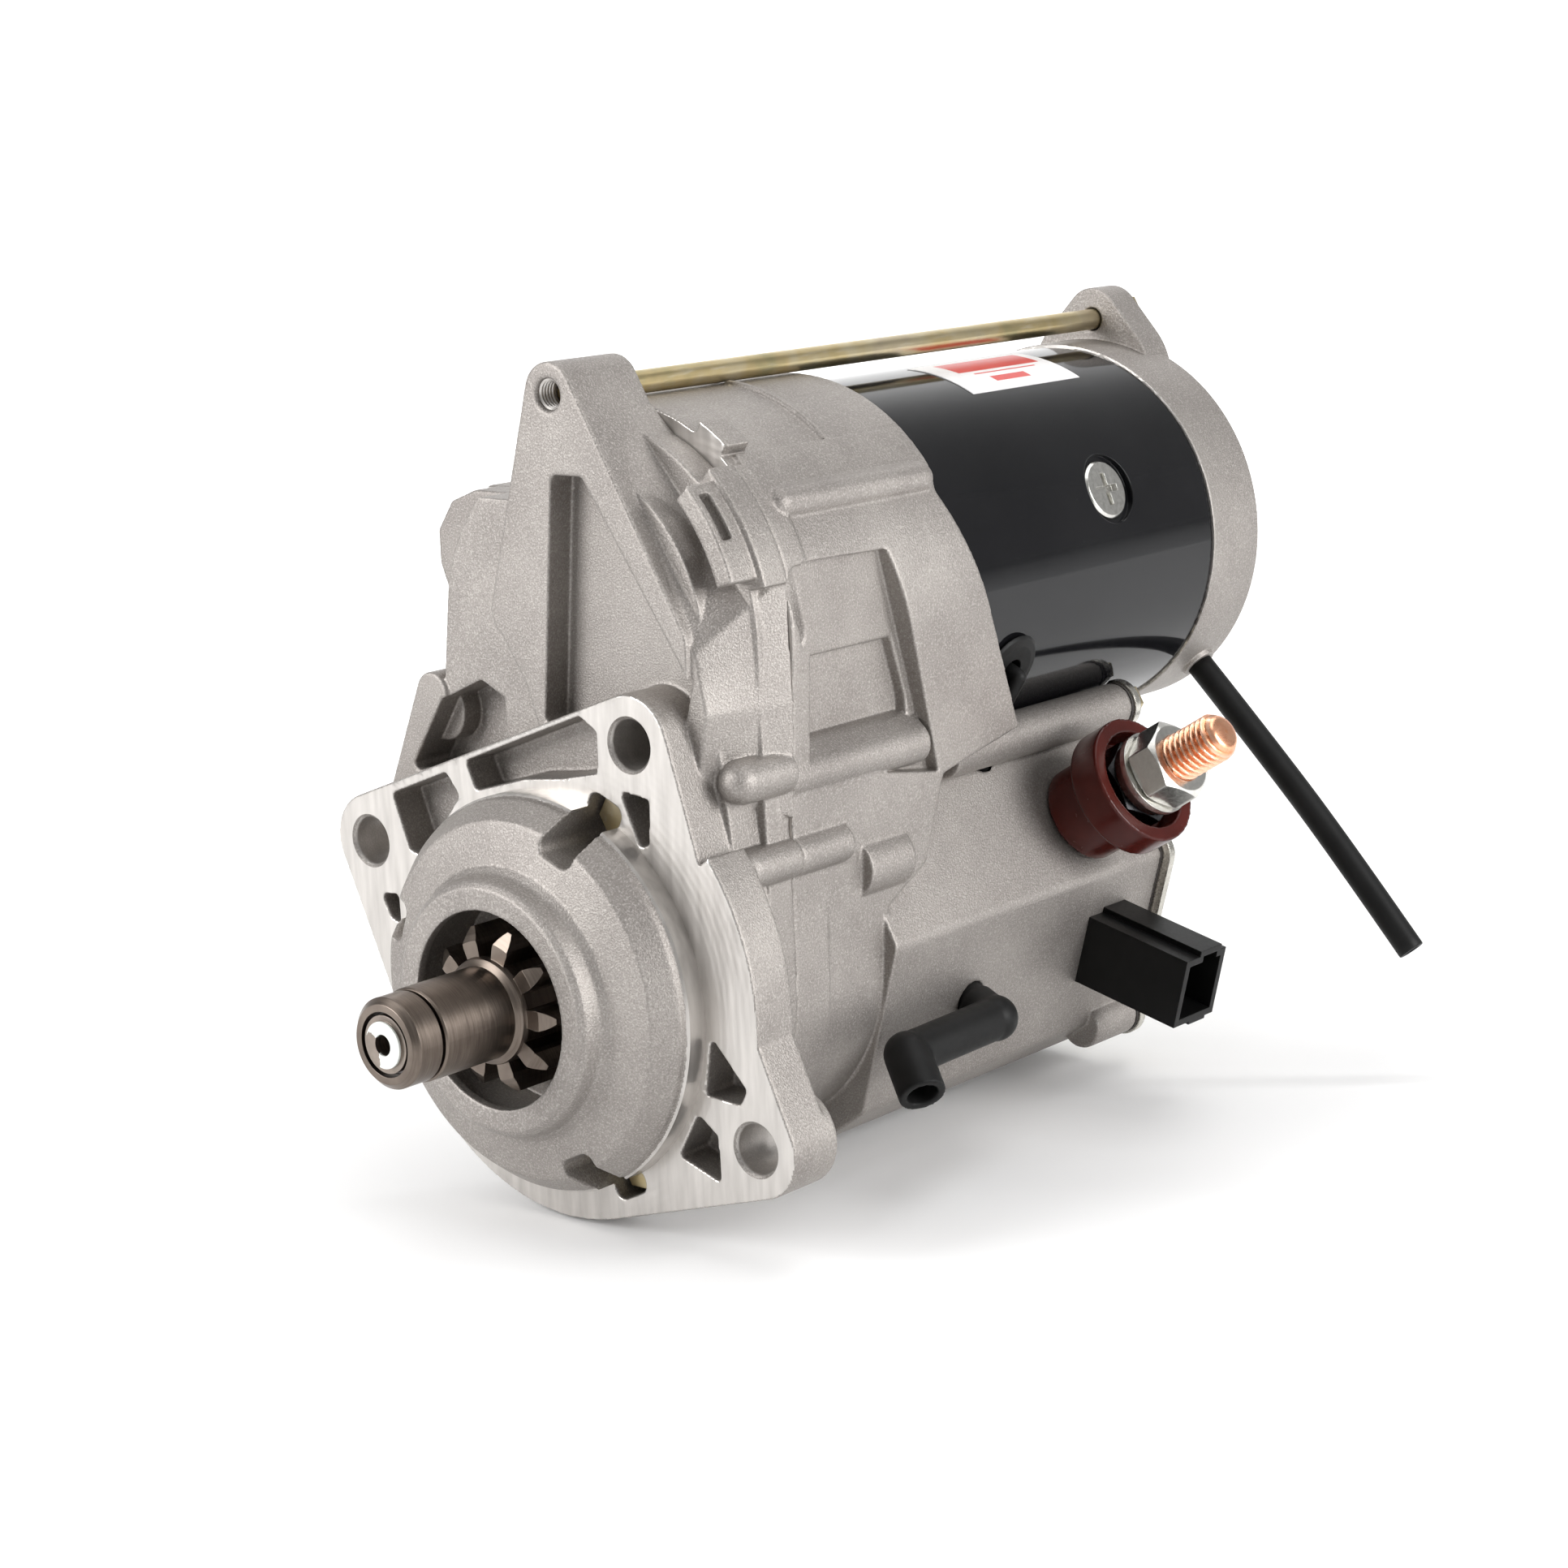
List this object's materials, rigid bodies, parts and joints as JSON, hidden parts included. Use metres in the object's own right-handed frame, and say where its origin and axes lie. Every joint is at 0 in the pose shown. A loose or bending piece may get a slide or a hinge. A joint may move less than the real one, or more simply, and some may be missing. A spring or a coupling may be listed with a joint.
{
  "type": "starter motor",
  "caption": "Offset gear-reduction starter motor for a diesel engine: cast nose flange and pinion, motor above, magnetic switch below, side terminal.",
  "frame": {"origin": "centre of the round pilot in the plane of the machined flange face", "axes": "+Y along the pinion axis, back towards the motor's rear cover; +Z from the pinion axis up to the motor axis; +X to the side with the battery terminal"},
  "size_m": [0.1706, 0.2794, 0.1961],
  "materials": {
    "cast_aluminium": "sand cast, matte grey",
    "bearing_steel": "ground",
    "gear_steel": "hardened, warm grey",
    "spring_steel": "oiled",
    "core_steel": "dull",
    "yellow_zinc": "yellow zinc plated",
    "bright_zinc": "bright zinc plated",
    "black_steel": "black oxide",
    "black_paint": "gloss black",
    "copper": "bare copper",
    "carbon": "carbon",
    "phenolic": "dark red-brown moulding",
    "black_plastic": "moulded",
    "fibre": "vulcanised fibre",
    "black_rubber": "matte",
    "paper_label": "red and white paper, blank",
    "plated_lid": "plated sheet"
  },
  "bodies": {
    "housing": {"drive_housing": "cast_aluminium", "nose_screws": "yellow_zinc", "front_seal": "black_rubber", "front_bearing": "bearing_steel", "rear_clutch_bearing": "bearing_steel", "idler_shaft": "bearing_steel", "idler_rollers": "bearing_steel", "armature_front_bearing": "bearing_steel", "armature_rear_bearing": "bearing_steel", "yoke": "black_paint", "pole_shoes": "core_steel", "pole_screws": "bright_zinc", "field_coils": "copper", "yoke_grommet": "black_rubber", "rating_label": "paper_label", "end_frame": "cast_aluminium", "through_bolts": "yellow_zinc", "brush_holder": "bright_zinc", "brushes": "carbon", "brush_springs": "spring_steel", "switch_housing": "cast_aluminium", "coil_bobbin": "black_plastic", "switch_coil": "copper", "fixed_core": "core_steel", "plunger_spring": "spring_steel", "contact_insulators": "fibre", "battery_contact": "copper", "motor_contact": "copper", "motor_lead": "black_rubber", "terminal_stud": "copper", "terminal_insulator": "phenolic", "terminal_nuts": "bright_zinc", "terminal_washers": "bright_zinc", "switch_gasket": "fibre", "switch_cover": "plated_lid", "cover_screws": "yellow_zinc", "connector_housing": "black_plastic", "connector_blade": "bright_zinc", "vent_elbow": "black_rubber", "drain_hose": "black_rubber"},
    "armature": {"armature_shaft": "gear_steel", "armature_core": "core_steel", "armature_winding": "copper", "commutator": "copper"},
    "idler": {"idler_gear": "gear_steel"},
    "clutch_drive": {"clutch_outer": "gear_steel", "clutch_rollers": "bearing_steel", "clutch_springs": "spring_steel", "clutch_cover": "bright_zinc"},
    "clutch_tube": {"clutch_inner": "gear_steel", "return_spring": "spring_steel"},
    "pinion": {"pinion_shaft": "gear_steel", "pinion_gear": "gear_steel", "stop_collar": "gear_steel", "snap_ring": "spring_steel", "steel_ball": "bearing_steel"},
    "plunger": {"plunger": "bright_zinc", "plunger_rod": "bright_zinc"},
    "contact": {"contact_plate": "copper", "contact_spring": "spring_steel"}
  },
  "joints": [
    {"name": "armature_spin", "type": "hinge", "parent": "housing", "child": "armature", "pos_m": [0, 0.15, 0.0797], "axis": [0, 1, 0], "continuous": true},
    {"name": "idler_spin", "type": "hinge", "parent": "housing", "child": "idler", "pos_m": [-0.00686, 0.041, 0.05255], "axis": [0, 1, 0], "continuous": true},
    {"name": "clutch_spin", "type": "hinge", "parent": "housing", "child": "clutch_drive", "pos_m": [0, 0.041, 0], "axis": [0, 1, 0], "continuous": true},
    {"name": "overrun_spin", "type": "hinge", "parent": "clutch_drive", "child": "clutch_tube", "pos_m": [0, 0.03, 0], "axis": [0, 1, 0], "continuous": true},
    {"name": "pinion_slide", "type": "slide", "parent": "clutch_tube", "child": "pinion", "axis": [0, -1, 0], "range_m": [0, 0.018], "deforming": ["return_spring"]},
    {"name": "plunger_slide", "type": "slide", "parent": "housing", "child": "plunger", "axis": [0, -1, 0], "range_m": [0, 0.018], "deforming": ["plunger_spring"]},
    {"name": "contact_slide", "type": "slide", "parent": "housing", "child": "contact", "axis": [0, -1, 0], "range_m": [0, 0.0156], "deforming": ["contact_spring"]}
  ],
  "couplings": [
    {"joint": "idler_spin", "follows": "armature_spin", "ratio": -0.64706},
    {"joint": "clutch_spin", "follows": "armature_spin", "ratio": 0.30556},
    {"joint": "plunger_slide", "follows": "pinion_slide", "ratio": 1},
    {"joint": "contact_slide", "follows": "pinion_slide", "ratio": 0.86667}
  ]
}
